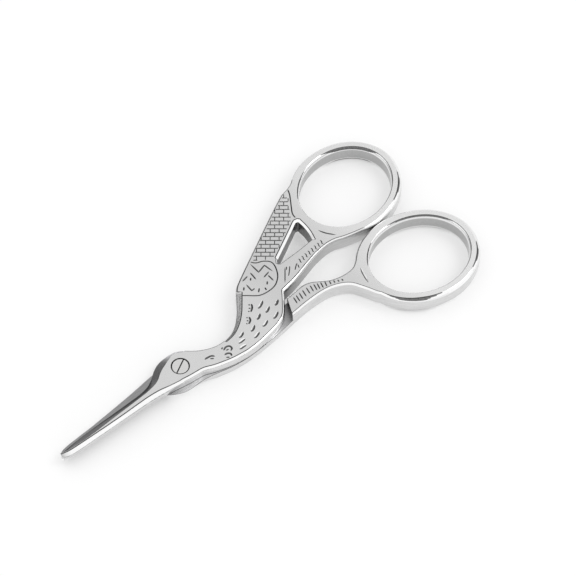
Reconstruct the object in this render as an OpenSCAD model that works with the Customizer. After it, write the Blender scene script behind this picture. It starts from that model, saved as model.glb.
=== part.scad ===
// Stork embroidery scissors, closed and lying flat, in millimetres.
// The pivot axis is Z through the origin and the table is the plane z = 0.
// The beak points along -X, the finger rings lie at +X. The front half carries
// the stork's body, wing and the ring at +Y, the back half the second leg and
// the ring at -Y. The halves lie over each other from the tips to the shoulder,
// each ground to half thickness there, and meet on the plane half way up.

/* [Blades] */
// Distance from the pivot axis to the tips
blade_len = 28.3; // [24:0.1:36]
// Width of the closed pair of blades where they leave the head
blade_w = 3.9; // [3:0.1:5]
// Thickness of the closed pair of blades at the tip
tip_t = 2.5; // [1.6:0.1:3.4]
// Height of the narrow land left along each cutting edge
edge_land = 0.12; // [0.05:0.01:0.3]

/* [Pivot] */
// Radius of the round head about the pivot, on the middle plane
head_r = 4.25; // [3.8:0.05:5]
// Radius of the screw's head
screw_head_r = 1.6; // [1.3:0.05:1.9]
// Height of the screw's head, which sits flush in its counterbore
screw_head_h = 0.9; // [0.6:0.05:1.3]
// Gap round the screw's head, seen as a dark ring
screw_head_gap = 0.16; // [0.08:0.01:0.3]
// Radius of the plain shank that the front half turns on
shank_r = 1.1; // [0.8:0.05:1.2]
// Radial running clearance between the shank and the front half's bore
running_gap = 0.04; // [0.02:0.01:0.08]
// Radius of the screwed end in the back half
thread_r = 0.95; // [0.7:0.05:1.05]
// Radial gap that stands for the fit of the thread
thread_gap = 0.02; // [0.01:0.01:0.04]
// Width of the driving slot
slot_w = 0.26; // [0.2:0.02:0.5]
// Depth of the driving slot
slot_d = 0.4; // [0.2:0.05:0.5]
// Turn of the driving slot, in degrees from +X
slot_turn = 28; // [0:1:90]

/* [Body] */
// Thickness of the body, the legs and the rings
thick = 4; // [3.4:0.1:5]
// Distance from the pivot axis to the roots of the rings
shank_len = 41; // [37:0.5:48]
// Width of the neck just behind the pivot
neck_w = 4.75; // [4.2:0.05:5.4]
// Gap between the two lapped halves
lap_gap = 0.04; // [0.02:0.01:0.1]
// Gap between the back half's lapped neck and the front half's full body
side_gap = 0.25; // [0.15:0.05:0.4]
// How far the edge rounding reaches in from the side
round_in = 0.5; // [0.3:0.05:0.7]
// How far the edge rounding reaches down from the face
round_down = 0.6; // [0.3:0.05:0.9]
// Depth of the rounding at the head's spine side, as a share of half the thickness
head_round = 0.45; // [0.3:0.05:0.7]

/* [Finger rings] */
// Length of a ring's hole along its long axis
ring_hole_len = 20.5; // [18:0.1:24]
// Width of a ring's hole across its long axis
ring_hole_w = 17.1; // [15:0.1:20]
// Width of the band seen from above
ring_band = 2.15; // [1.7:0.05:2.8]
// Turn of a ring's long axis away from the middle line, in degrees
ring_turn = 12; // [6:1:16]
// Gap between the two rings when the scissors are closed
ring_gap = 0.1; // [0.05:0.01:0.3]
// How far the rings' line of contact lies from the middle line
ring_shift = 0.3; // [0:0.05:0.6]
// How far a ring's end reaches back over its root
ring_lap = 1.85; // [1.4:0.05:2.3]
// How far the rounding of a ring's edges reaches in from the side
ring_round_in = 0.38; // [0.2:0.02:0.6]
// How far the rounding of a ring's edges reaches down from the face
ring_round_down = 0.8; // [0.4:0.05:1.2]

/* [Hidden] */
steel = "#c9cbce";
half_t = thick / 2;
far = 60;
round_steps = 3;
spine_steps = 5;
ring_stations = 44;
$fn = 48;

// The sizes that the tables of points below are drawn for, which they follow when one is changed
drawn_blade_len = 28.3;
drawn_blade_w = 3.9;
drawn_head_r = 4.25;
drawn_shank_len = 41;
drawn_neck_w = 4.75;
blade_end = -5;

// Half lengths of the ring band's middle line, and the ring's place
ring_a = (ring_hole_len + ring_band) / 2;
ring_b = (ring_hole_w + ring_band) / 2;
ring_reach = norm([(ring_a + ring_band / 2) * sin(ring_turn),
                   (ring_b + ring_band / 2) * cos(ring_turn)]);
ring_x = shank_len - ring_lap + ring_a + ring_band / 2;
front_ring_y = ring_shift + ring_gap / 2 + ring_reach;
back_ring_y = ring_shift - ring_gap / 2 - ring_reach;

// Smooth curve through points in plan, with n steps from each point to the next
function spline(a, b, c, d, t) =
    ((2 * b) + (c - a) * t + (2 * a - 5 * b + 4 * c - d) * t * t
    + (3 * b - a - 3 * c + d) * t * t * t) / 2;
function curve(p, n) = [
    for (i = [0:len(p) - 2], k = [0:n - 1])
        spline(p[max(i - 1, 0)], p[i], p[i + 1], p[min(i + 2, len(p) - 1)], k / n),
    p[len(p) - 1]];

// Smooth value at x from a table of [x, value] rows in rising x
function slope(tab, i) =
    let (a = max(i - 1, 0), b = min(i + 1, len(tab) - 1))
    (tab[b].y - tab[a].y) / (tab[b].x - tab[a].x);
function span(tab, x, i = 0) = (i >= len(tab) - 2 || x < tab[i + 1].x) ? i : span(tab, x, i + 1);
function at(tab, x) =
    let (i = span(tab, x), w = tab[i + 1].x - tab[i].x, t = max(0, min(1, (x - tab[i].x) / w)))
    tab[i].y * (1 + 2 * t) * pow(1 - t, 2) + slope(tab, i) * w * t * pow(1 - t, 2)
    + tab[i + 1].y * t * t * (3 - 2 * t) - slope(tab, i + 1) * w * t * t * (1 - t);

// Skin over a row of sections that all have the same number of corners
module loft(sections, closed = false) {
    n = len(sections[0]);
    m = len(sections);
    sides = [for (j = [0:m - (closed ? 1 : 2)], i = [0:n - 1])
        let (a = j * n + i, b = j * n + (i + 1) % n,
             c = ((j + 1) % m) * n + (i + 1) % n, d = ((j + 1) % m) * n + i)
        each [[a, b, c], [a, c, d]]];
    ends = closed ? [] : [[for (i = [n - 1:-1:0]) i], [for (i = [0:n - 1]) (m - 1) * n + i]];
    polyhedron(points = [for (s = sections) each s], faces = concat(sides, ends));
}

// One skin round several overlapping lofts
module weld() { minkowski() { union() children(); } }

// Upright section from point a to point b in plan, with rounded edges
function plate_section(a, b, w = round_in, d = round_down) =
    let (u = (b - a) / norm(b - a), q = [for (k = [0:round_steps]) 90 * k / round_steps],
         p = function(c, s, deg, up)
             [c.x + s * u.x * w * (1 - cos(deg)), c.y + s * u.y * w * (1 - cos(deg)),
              up ? thick - d * (1 - sin(deg)) : d * (1 - sin(deg))])
    concat([for (g = q) p(a, 1, g, true)], [for (k = [round_steps:-1:0]) p(b, -1, q[k], true)],
           [for (g = q) p(b, -1, g, false)], [for (k = [round_steps:-1:0]) p(a, 1, q[k], false)]);

// Strip of plate between a lower and an upper outline, point by point
module strip(lower, upper) {
    loft([for (i = [0:len(lower) - 1]) plate_section(lower[i], upper[i])]);
}

// Point in plan on a finger ring with its middle at height y and its long axis turned by deg:
// at the angle t round the ring, and the distance out from the band's middle line
function on_ring(y, deg, t, out = 0) =
    let (side = [ring_b * cos(t), ring_a * sin(t)] / norm([ring_b * cos(t), ring_a * sin(t)]),
         v = [ring_a * cos(t), ring_b * sin(t)] + side * out)
    [ring_x + v.x * cos(deg) - v.y * sin(deg), y + v.x * sin(deg) + v.y * cos(deg)];
function on_front(t, out = 0) = on_ring(front_ring_y, ring_turn, t, out);
function on_back(t, out = 0) = on_ring(back_ring_y, -ring_turn, t, out);

module ring(y, deg) {
    loft([for (k = [0:ring_stations - 1])
        let (t = 360 * k / ring_stations)
        plate_section(on_ring(y, deg, t, ring_band / 2), on_ring(y, deg, t, -ring_band / 2),
                      ring_round_in, ring_round_down)],
        closed = true);
}

// Rows along the blade and points along the body, stretched with the sizes that set them
function blade_at(rows) = [for (r = rows)
    [r.x < 0 ? r.x * blade_len / drawn_blade_len : r.x,
     r.y * (r.x < blade_end ? blade_w / drawn_blade_w : head_r / drawn_head_r)]];
function body_at(points) = [for (p = points) [p.x * shank_len / drawn_shank_len, p.y]];
function neck_at(points) = [for (p = body_at(points))
    [p.x, p.y - (neck_w - drawn_neck_w) * max(0, min(1, p.x / 5, (19 - p.x) / 5))]];

// The beak in plan, as [x, y] rows: its spine, the two sides of its flat, and its cutting edge
spine = [[-28.3, -0.12], [-28.1, -0.42], [-27.5, -0.78], [-26.4, -1.02], [-24.4, -1.2],
    [-19.4, -1.5], [-14.4, -1.72], [-9.4, -1.95], [-6.4, -2.2], [-4.4, -2.45], [-1.3, -3.0]];
flat_low = [[-28.3, 0.0], [-28.1, -0.2], [-27.5, -0.42], [-26.4, -0.5], [-22, -0.68],
    [-15, -0.98], [-10, -1.08], [-8, -1.22], [-6, -1.5], [-4, -2.0], [-2, -2.35]];
flat_high = [[-28.3, 0.06], [-28.1, -0.08], [-27.5, -0.3], [-26.4, -0.42], [-22, -0.6],
    [-15, -0.48], [-10, -0.36], [-8, -0.25], [-6, 0.1], [-5, 0.5], [-4, 1.1], [-3, 1.65],
    [-2, 2.05], [-1, 2.45], [0, 2.75]];
edge = [[-28.3, 0.18], [-28.1, 0.34], [-27.5, 0.58], [-26, 0.78], [-21.4, 1.0],
    [-9.4, 1.02], [-7.3, 1.3], [-6.3, 1.65], [-5.2, 2.3], [-4.3, 3.0], [-3.3, 3.6],
    [-2.3, 4.0], [-1.3, 4.18], [0, 4.25]];

// How the four lines go on past the pivot, where the front half's head runs into its neck
// and where the back half's does
front_ends = [[[0.7, -3.3], [3, -3.55]], [[0, -2.65], [3, -3.0]],
    [[1, 2.85], [2, 2.35], [3, 1.6]], [[1.2, 3.85], [2.2, 3.05], [3, 2.2]]];
back_ends = [[[0, -3.1], [1.2, -3.0], [2.2, -2.5], [3, -1.8]], [[0, -2.5], [1.2, -2.4], [3, -1.2]],
    [[1, 2.8], [3, 3.1]], [[1.2, 4.2], [2.2, 4.25], [3, 4.35]]];

// Places where a section is made: close together at the tip and along the head
tip_steps = [0, 0.1, 0.3, 0.7, 1.3, 2.2, 3.2];
head_x = -7;
blade_x = concat([for (s = tip_steps) s - blade_len],
    [for (k = [1:15]) let (from = 3.2 - blade_len) from + (head_x - 0.5 - from) * k / 15],
    [for (k = [0:20]) head_x + k / 2]);

// Upper half of the beak and head: rounded spine, flat and ground bevel
module blade(ends) {
    rows = [for (i = [0:3]) blade_at(concat([spine, flat_low, flat_high, edge][i], ends[i]))];
    top_at_tip = half_t + tip_t / 2;
    loft([for (x = blade_x)
        let (rise = max(0, min(1, (x + blade_len) / (blade_len - 6))),
             top = top_at_tip + (thick - top_at_tip) * rise,
             y0 = at(rows[0], x), y1 = at(rows[1], x), y2 = max(at(rows[2], x), y1 + 0.02),
             y3 = at(rows[3], x),
             share = max(head_round, min(1, head_round + (1 - head_round) * x / blade_end)),
             drop = (top - half_t) * share)
        concat([[x, y0, half_t / 2]],
            [for (k = [0:spine_steps]) let (g = 90 * k / spine_steps)
                [x, y0 + (y1 - y0) * (1 - cos(g)), top - drop * (1 - sin(g))]],
            [[x, y2, top], [x, y3, half_t + edge_land], [x, y3, half_t / 2]])]);
}

// Front half's outlines, lower and upper: neck, body with its tail, and leg
neck_low = neck_at([[-0.5, -2.9], [2, -3.5], [5, -4.45], [8, -5.35], [10, -5.7], [12, -5.95],
    [14, -5.95], [16, -5.75], [18, -5.5], [19.6, -5.2]]);
neck_top = body_at([[-0.5, 3.0], [2, 2.75], [5, 0.45], [8, -0.75], [10, -0.95], [12, -0.55],
    [13.9, 0.55], [15.7, 2.2], [17.3, 4.2], [18.75, 6.1]]);
body_low = concat(body_at([[19.6, -5.2], [21, -4.75], [22.4, -4.0], [23.7, -2.6], [25, -1.0],
    [25.8, 0.1], [27.2, 2.6], [28.6, 5.4], [29.9, 6.5], [33.4, 8.45], [37.2, 10.45], [38.7, 11.15]]),
    [on_front(155), on_front(142), on_front(130)]);
body_top = concat(body_at([[18.75, 6.1], [19.6, 6.9], [21, 7.75], [22.6, 8.65], [24.2, 9.5],
    [25.8, 10.35], [27.4, 11.2], [29, 12.05], [30.6, 12.9], [34.6, 15.0], [38.5, 17.0],
    [39.7, 17.55], [40.8, 18.05], [42.4, 18.4]]), [on_front(118, ring_band / 2 - 0.3)]);
leg_low = concat(body_at([[26.2, 0.1], [28, 0.35], [30, 0.75], [32, 1.3], [34, 1.85], [36, 2.35],
    [38, 2.65], [39.8, 2.75], [41.4, 2.5], [43.2, 1.85]]),
    [on_front(226, ring_band / 2 + 0.35), on_front(237, ring_band / 2 - 0.25)]);
leg_top = concat(body_at([[27.4, 4.6], [28.8, 5.0], [30.2, 5.45], [32.2, 5.5], [34.2, 5.5],
    [36.2, 5.55], [37.7, 5.6], [38.6, 6.4], [39.7, 8.6]]),
    [on_front(200), on_front(212), on_front(228)]);

// Back half's outlines, from the hidden neck along the leg to the ring
back_low = concat(neck_at([[-0.5, -2.9], [2, -3.7], [5, -4.8], [8, -5.55], [10, -5.85], [12, -6.0],
    [14, -6.0], [17, -5.85], [20, -5.6], [22.4, -5.35], [24, -5.15], [27, -4.9], [30, -4.85],
    [32, -5.0], [33.4, -5.3], [34.6, -5.75], [35.8, -6.4], [36.9, -7.4], [37.8, -9.0], [38.7, -11.0]]),
    [on_back(205, ring_band / 2 - 0.15), on_back(185), on_back(160)]);
back_top = concat(body_at([[-0.5, 3.0], [2, 2.2], [5, 0.3], [8, -0.85], [10, -1.05], [12, -1.12],
    [14, -1.18], [17, -1.26], [20, -1.33], [22.6, -1.38], [25.3, -1.42], [27.4, -1.2], [29.6, -1.15],
    [31.2, -1.6], [32.7, -2.6], [34.2, -3.6], [36, -4.25], [37.6, -4.5], [39.3, -4.45], [40.6, -3.75],
    [42.2, -2.4]]), [on_back(141, ring_band / 2 + 0.35), on_back(132, ring_band / 2 - 0.3)]);

// Where the front half is ground to half thickness, up to the back half's neck
module front_lap() {
    line = [for (p = body_at([[12.6, -1.14], [16, -1.24], [20, -1.33], [25.3, -1.42], [27, -1.25]]))
        p + [0, side_gap]];
    translate([0, 0, -far]) linear_extrude(far + half_t + lap_gap / 2)
        polygon(concat([[-far, -far], [line[4].x, -far]], [for (i = [4:-1:0]) line[i]],
            [[line[0].x, far], [-far, far]]));
}

// Where the back half is ground to half thickness, up to its shoulder
module back_lap() {
    translate([0, 0, half_t - lap_gap / 2]) linear_extrude(far)
        polygon(concat([[-far, -far]], body_at([[20.2, -12], [25.4, -1.3], [27.5, 3.3], [27.5, far]]),
            [[-far, far]]));
}

module front_half() {
    color(steel) difference() {
        weld() {
            blade(front_ends);
            strip(curve(neck_low, 2), curve(neck_top, 2));
            strip(curve(body_low, 1), curve(body_top, 1));
            strip(leg_low, leg_top);
            ring(front_ring_y, ring_turn);
        }
        front_lap();
        translate([0, 0, half_t / 2]) cylinder(h = thick, r = shank_r + running_gap);
        translate([0, 0, thick - screw_head_h - running_gap])
            cylinder(h = thick, r = screw_head_r + screw_head_gap);
    }
}

module back_half() {
    color(steel) difference() {
        weld() {
            translate([0, 0, thick]) rotate([180, 0, 0]) blade(back_ends);
            strip(back_low, back_top);
            ring(back_ring_y, -ring_turn);
        }
        back_lap();
        translate([0, 0, -1]) cylinder(h = thick + 2, r = thread_r + thread_gap);
    }
}

module pivot_screw() {
    color("#b9bbbe") difference() {
        union() {
            cylinder(h = half_t + lap_gap / 2, r = thread_r);
            translate([0, 0, half_t + lap_gap / 2]) cylinder(h = half_t - lap_gap, r = shank_r);
            translate([0, 0, thick - screw_head_h]) cylinder(h = screw_head_h, r = screw_head_r);
        }
        rotate([0, 0, slot_turn]) translate([-screw_head_r - 1, -slot_w / 2, thick - slot_d])
            cube([2 * screw_head_r + 2, slot_w, slot_d + 1]);
    }
}

front_half();
back_half();
pivot_screw();
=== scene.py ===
"""Looks of the stork embroidery scissors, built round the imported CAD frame.

Sizes are in millimetres until a mesh is made. Each half is drawn in its own frame, with its
blade on top; the back half is then turned over about X. An outline carries, point by point,
how far its edge rounding reaches in from the side and down from the face.
"""
import math

import bmesh
import bpy
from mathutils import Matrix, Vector
from mathutils.geometry import delaunay_2d_cdt

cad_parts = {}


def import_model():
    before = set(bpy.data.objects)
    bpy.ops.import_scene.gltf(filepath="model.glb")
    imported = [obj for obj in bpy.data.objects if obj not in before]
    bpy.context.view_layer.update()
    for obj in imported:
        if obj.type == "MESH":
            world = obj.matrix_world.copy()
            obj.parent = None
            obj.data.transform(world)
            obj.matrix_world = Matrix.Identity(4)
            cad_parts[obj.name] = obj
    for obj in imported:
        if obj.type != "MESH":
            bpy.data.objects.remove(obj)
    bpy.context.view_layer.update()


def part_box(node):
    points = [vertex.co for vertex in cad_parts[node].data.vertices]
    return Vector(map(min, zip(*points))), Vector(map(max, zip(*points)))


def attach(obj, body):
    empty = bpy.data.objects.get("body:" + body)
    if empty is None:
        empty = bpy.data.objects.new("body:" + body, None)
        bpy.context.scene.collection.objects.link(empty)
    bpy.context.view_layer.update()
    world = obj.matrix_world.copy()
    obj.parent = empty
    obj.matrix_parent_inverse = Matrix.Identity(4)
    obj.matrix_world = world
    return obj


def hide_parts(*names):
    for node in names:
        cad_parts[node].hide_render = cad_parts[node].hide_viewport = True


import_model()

MM = 0.001
MICRON = 1e-6

# Heights: a half's thickness, its middle, the face at the blade's tip and the lap's face
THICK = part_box("back_half")[1].z / MM
HALF = THICK / 2
TIP_TOP = HALF + 1.25
LAP = HALF + 0.02

# The blade's tip, and the land left along its cutting edge
TIP_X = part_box("front_half")[0].x / MM
LAND = 0.12

# Distance between the points of a smooth curve, and a distance beyond the part in plan
STEP = 0.35
FAR = 60

# The edge rounding of a section: its strips, how steeply it starts in degrees, and its angles
BAND = 9
ARRIS = 20
ANGLES = [math.radians(ARRIS + (90 - ARRIS) * k / BAND) for k in range(BAND + 1)]

# Points of a whole section: line, rounding, wall and seam, above and below the middle plane
ROWS = 2 * (BAND + 4) + 1

# Width of the line along a flat's edge, a shallow groove painted dark as a reflection, and half
# the height of the groove where the halves meet
LINE = 0.2
SEAM = 0.09

# The pivot: radii of bore, shank, thread, counterbore and head, then the depths of the last two
BORE_R, SHANK_R, THREAD_R, RECESS_R, HEAD_R = 1.14, 1.1, 0.93, 1.76, 1.6
RECESS, HEAD = 0.94, 0.9

# The finger rings, as in the CAD model
HOLE_LENGTH, HOLE_WIDTH = 20.5, 17.1
RING_BAND = 2.15
RING_TURN = 12
RING_GAP, RING_SHIFT, RING_LAP = 0.1, 0.3, 1.85
SHANK_LENGTH = 41
RING_A = (HOLE_LENGTH + RING_BAND) / 2
RING_B = (HOLE_WIDTH + RING_BAND) / 2
RING_X = SHANK_LENGTH - RING_LAP + RING_A + RING_BAND / 2
RING_REACH = math.hypot((RING_A + RING_BAND / 2) * math.sin(math.radians(RING_TURN)),
                        (RING_B + RING_BAND / 2) * math.cos(math.radians(RING_TURN)))
FRONT_RING_Y = RING_SHIFT + RING_GAP / 2 + RING_REACH
BACK_RING_Y = -RING_SHIFT + RING_GAP / 2 + RING_REACH

# The band's outer side as drawn, a hair inside the CAD model's, and its narrowest rounding
RING_SIDE = RING_BAND / 2 - 0.008
ROUND_IN, ROUND_DOWN = 0.38, 0.8

# Directions in plan that point down and to the right in the photo
PHOTO_DOWN = Vector((-0.655, -0.755))
PHOTO_RIGHT = Vector((0.755, -0.656))

# Kinds of surface, which are also the material slots of a half; several of them paint shade,
# dark reflections or highlights into the colour
FACE, ROUND, GROOVE, BEVEL, LAPPED, RIM, PAINTED_DARK, INNER, BRIGHT, SIDE, SHADED = range(11)


def clamp(*values):
    """The lowest of the values, kept between 0 and 1."""
    return max(0, min(1, *values))


def spline(points, step=STEP):
    """Points about one step apart on a smooth curve through the given ones."""
    out = []
    for i in range(len(points) - 1):
        a, b = points[max(i - 1, 0)], points[i]
        c, d = points[i + 1], points[min(i + 2, len(points) - 1)]
        count = max(1, round(math.dist(b, c) / step))
        for k in range(count):
            t = k / count
            out.append(tuple(
                (2 * b[j] + (c[j] - a[j]) * t + (2 * a[j] - 5 * b[j] + 4 * c[j] - d[j]) * t * t
                 + (3 * b[j] - a[j] - 3 * c[j] + d[j]) * t ** 3) / 2 for j in range(len(b))))
    out.append(tuple(points[-1]))
    return out


def slope(rows, i):
    """Slope of the curve through [x, value] rows at row i."""
    a, b = max(i - 1, 0), min(i + 1, len(rows) - 1)
    return (rows[b][1] - rows[a][1]) / (rows[b][0] - rows[a][0])


def at(rows, x):
    """Smooth value at x from [x, value] rows."""
    i = 0
    while i < len(rows) - 2 and x >= rows[i + 1][0]:
        i += 1
    w = rows[i + 1][0] - rows[i][0]
    t = clamp((x - rows[i][0]) / w)
    return (rows[i][1] * (1 + 2 * t) * (1 - t) ** 2 + slope(rows, i) * w * t * (1 - t) ** 2
            + rows[i + 1][1] * t * t * (3 - 2 * t) - slope(rows, i + 1) * w * t * t * (1 - t))


def top_at(x):
    """Height of the upper face, which falls from the head to the tip."""
    return TIP_TOP + (THICK - TIP_TOP) * clamp((x - TIP_X) / (-6 - TIP_X))


def on_ring(y, t, out=0):
    """Point on a finger ring at angle t, a distance out from the band's middle line."""
    c, s = math.cos(math.radians(t)), math.sin(math.radians(t))
    n = Vector((RING_B * c, RING_A * s)).normalized() * out
    x0, y0 = RING_A * c + n.x, RING_B * s + n.y
    c, s = math.cos(math.radians(RING_TURN)), math.sin(math.radians(RING_TURN))
    return (RING_X + x0 * c - y0 * s, y + x0 * s + y0 * c)


# The blade in plan: spine, the two sides of its flat, and its cutting edge
SPINE = [(-28.3, -0.15), (-28.1, -0.55), (-27.5, -0.98), (-26.4, -1.25), (-24.4, -1.38),
         (-19.4, -1.56), (-14.4, -1.72), (-9.4, -1.95), (-6.4, -2.2), (-4.4, -2.45), (-1.3, -3.0)]
FLAT_LOW = [(-28.3, 0.08), (-28.1, 0.1), (-27.5, -0.08), (-26.4, -0.32), (-22, -0.62),
            (-15, -0.98), (-10, -1.1), (-8, -1.22), (-6, -1.5), (-4, -2.0), (-2, -2.35)]
FLAT_HIGH = [(-28.3, 0.12), (-28.1, 0.15), (-27.5, -0.03), (-26.4, -0.27), (-22, -0.54),
             (-15, -0.48), (-10, -0.42), (-8, -0.34), (-6, -0.02), (-5, 0.4), (-4, 1.1), (-3, 1.65),
             (-2, 2.05), (-1, 2.45), (0, 2.75)]
EDGE = [(-28.3, 0.18), (-28.1, 0.34), (-27.5, 0.58), (-26, 0.78), (-21.4, 1.0),
        (-9.4, 1.02), (-7.3, 1.3), (-6.3, 1.65), (-5.2, 2.3), (-4.3, 3.0), (-3.3, 3.6),
        (-2.3, 4.0), (-1.3, 4.18), (0, 4.25)]
# Where the stations of the blade and of the head lie
BLADE_X = ([TIP_X + s for s in (0, 0.06, 0.14, 0.25, 0.4, 0.6, 0.9, 1.3, 1.8, 2.4)]
           + [TIP_X + 3 + k * 0.6 for k in range(int((-8 - TIP_X - 3) / 0.6) + 1)])
HEAD_X = [-8 + 0.25 * k for k in range(1, 33)]


class Station:
    """One place on an outline, with the section through the edge there.

    p is the outer point and q the edge of the flat, or None where reach says how far in it lies.
    drop is the height of the rounding, and bevel its share of a plain slope. kind and wall are
    the kinds of the rounding and of the upright wall, and line is the width of the line at the
    flat's edge, a shallow groove painted dark as a reflection. dark and light count the strips of
    the rounding that are painted dark as reflections or white as highlights.
    """

    def __init__(self, p, q=None, reach=0.5, drop=0.6, bevel=0.0, kind=ROUND, wall=None,
                 line=LINE, dark=0, light=0):
        self.p, self.q = Vector(p), None if q is None else Vector(q)
        self.reach, self.drop, self.bevel, self.kind = reach, drop, bevel, kind
        self.wall = kind if wall is None else wall
        self.line, self.dark, self.light = (0 if kind == BEVEL else line), dark, light

    def kind_at(self, step):
        """Kind of one strip of the section, counted down from the flat.

        Two strips make the line, BAND strips the rounding, one the upright wall and the last one
        the seam's flank. Below its middle the rounding is brushed like the wall. Up to the legs it
        has a darker line painted along its middle as a reflection, and on the wide breast a painted
        white highlight line. The dark and white strips are painted reflections and highlights.
        """
        middle, last = 2 + (BAND + 1) // 2, ROWS // 2 - 1
        if step < 2:
            return GROOVE if self.line else BRIGHT if self.light else self.kind
        if step == last:
            return GROOVE if self.seam() else self.kind_at(last - 1)
        # Painted dark reflection strips, then painted white highlight strips
        if step < 2 + self.dark:
            return PAINTED_DARK
        if step < 2 + self.dark + self.light:
            return BRIGHT
        if self.kind == ROUND and step == middle and self.p.x < 25 and not self.bevel:
            return RIM
        if (step > middle and self.kind in (ROUND, RIM, BRIGHT)
                and self.wall in (ROUND, RIM, SIDE, SHADED)):
            return SHADED if self.wall == SHADED else SIDE
        if self.kind == RIM and step == middle - 1 and self.reach > 0.65:
            return BRIGHT
        return self.wall if step == last - 1 else self.kind

    def seam(self):
        """Depth of the groove where the halves meet, which ends before the legs and the tail."""
        return SEAM * 0.8 if self.kind != BEVEL and self.p.x < 24 and self.p.y < 9 else 0

    def section(self):
        """Points from the flat to half height: line, rounding, upright wall and seam.

        The rounding is an arc, mixed with a plain slope by the share that bevel gives.
        """
        top, span = top_at(self.p.x), (self.p - self.q).length
        share = min(self.line / span, 0.3) if self.line else 0.03
        deep = 0.6 * share * span if self.line else 0
        out = [(self.q, top), (self.q.lerp(self.p, share / 2), top - deep)]
        s0, c0 = math.sin(ANGLES[0]), math.cos(ANGLES[0])
        for k, angle in enumerate(ANGLES):
            across = (math.sin(angle) - s0) / (1 - s0)
            down = (c0 - math.cos(angle)) / c0
            across += (k / BAND - across) * self.bevel
            down += (k / BAND - down) * self.bevel
            out.append((self.q.lerp(self.p, share + (1 - share) * across),
                        top - deep / 3 - (self.drop - deep / 3) * down))
        low = out[-1][1]
        out.append((self.p, HALF + min(SEAM, (low - HALF) / 2)))
        return out + [(self.p.lerp(self.q, self.seam() / span), HALF)]


def run(points, reach=0.5, drop=0.6, bevel=0.0, kind=ROUND, wall=None):
    """Stations along a smooth curve; reach, drop and bevel may be pairs that change along it."""
    def part(v, t):
        return v[0] + (v[1] - v[0]) * t if isinstance(v, tuple) else v
    pts = spline(points)
    shares = [i / (len(pts) - 1) for i in range(len(pts))]
    return [Station(p, reach=part(reach, t), drop=part(drop, t), bevel=part(bevel, t), kind=kind,
                    wall=wall) for p, t in zip(pts, shares)]


def spine_side(swell=0.0):
    """Spine of the blade and head, from the tip to the pivot; swell widens it before the head."""
    out, head_round = [], 0.45
    for x in [v for v in BLADE_X + HEAD_X if v <= SPINE[-1][0]]:
        share = max(head_round, min(1, head_round - 0.11 * x))
        drop = min((top_at(x) - HALF) * share, top_at(x) - LAP - 0.03)
        bump = swell * clamp((x + 20) / 13) * clamp((-1.3 - x) / 3.7)
        out.append(Station((x, at(SPINE, x) - bump), (x, at(FLAT_LOW, x)), drop=drop))
    return out


def edge_side(dark_to=0.0):
    """Head's rim and cutting edge, from the pivot to the tip, with a painted dark bevel up to
    dark_to.
    """
    out = []
    for x in [v for v in reversed(BLADE_X + HEAD_X) if v <= 0]:
        q = max(at(FLAT_HIGH, x), at(FLAT_LOW, x) + 0.02)
        out.append(Station((x, at(EDGE, x)), (x, q), drop=top_at(x) - HALF - LAND,
                           bevel=1.0, kind=BEVEL if TIP_X + 0.5 < x <= dark_to else BRIGHT))
    return out


def facing(n, turned):
    """How far a direction in plan looks down and to the right in the photo."""
    n = Vector((n.x, -n.y if turned else n.y)).normalized()
    return n.dot(PHOTO_DOWN), n.dot(PHOTO_RIGHT)


def ring_shade(n, turned, spread, most=3.6):
    """Width of the line and the dark and white strips, painted where a ring's rounding faces n in
    plan.

    The angle is 0 where it faces down in the photo and grows towards the right. There are most
    dark strips within spread degrees of 0, and they run out on both sides.
    """
    # The line and the dark strips are painted dark reflections, the white strips painted highlights
    near, right = facing(n, turned)
    angle, fade = math.degrees(math.atan2(right, near)), 16
    down = clamp((spread + fade - abs(angle)) / fade)
    side = 0.6 * clamp((angle - 60) / 20, (104 - angle) / 20)
    left = clamp((-angle - 5) / 10, (100 + angle) / 12)
    white = clamp((abs(angle) - spread + 4) / 26, (84 - abs(angle)) / 30)
    line = LINE * max(down, min(1, 2 * side), 0.75 * left)
    return {"line": line if line > 0.03 else 0, "dark": round(max(most * down, 3.6 * side)),
            "light": round(5 * white)}


def ring_run(y, start, stop, turned=False, steps=90, ends=14):
    """Outer side of a finger ring between two angles.

    Its rounding is wider where it faces up, down or right in the photo, and runs out over the
    first and the last few stations.
    """
    out = []
    for k in range(steps + 1):
        t = start + (stop - start) * k / steps
        p = Vector(on_ring(y, t, RING_SIDE))
        n = Vector(on_ring(y, t, RING_BAND)) - p
        near, right = facing(n, turned)
        wide = max(abs(near), right, 0) * min(1, k / ends, (steps - k) / ends)
        out.append(Station(p, reach=ROUND_IN + 0.4 * wide, drop=ROUND_DOWN + 0.5 * wide,
                           wall=SIDE, **ring_shade(n, turned, 12)))
    return out


def turn_at(loop, i):
    """How sharply an outline turns at a station."""
    p, after = loop[i].p, loop[(i + 1) % len(loop)].p
    return abs((p - loop[i - 1].p).angle_signed(after - p, 0))


def finish_offsets(loop):
    """Works out each station's flat edge and leaves out those that would fold over a corner."""
    loop = [s for i, s in enumerate(loop) if math.dist(s.p, loop[i - 1].p) > 1e-4]
    n = len(loop)
    for i, s in enumerate(loop):
        if s.q is not None:
            continue
        a, b = (s.p - loop[i - 1].p).normalized(), (loop[(i + 1) % n].p - s.p).normalized()
        normal = Vector((-a.y - b.y, a.x + b.x)).normalized()
        cos_half = max(0.35, normal.dot(Vector((-a.y, a.x))))
        s.q = s.p + normal * s.reach / cos_half
    while True:
        n = len(loop)
        bad = [i for i in range(n)
               if (loop[(i + 1) % n].q - loop[i].q).dot(loop[(i + 1) % n].p - loop[i].p) <= 0]
        if not bad:
            return loop
        folded = set()
        for i in bad:
            j = (i + 1) % n
            folded.add(i if turn_at(loop, i) < turn_at(loop, j) else j)
        loop = [s for i, s in enumerate(loop) if i not in folded]


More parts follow.
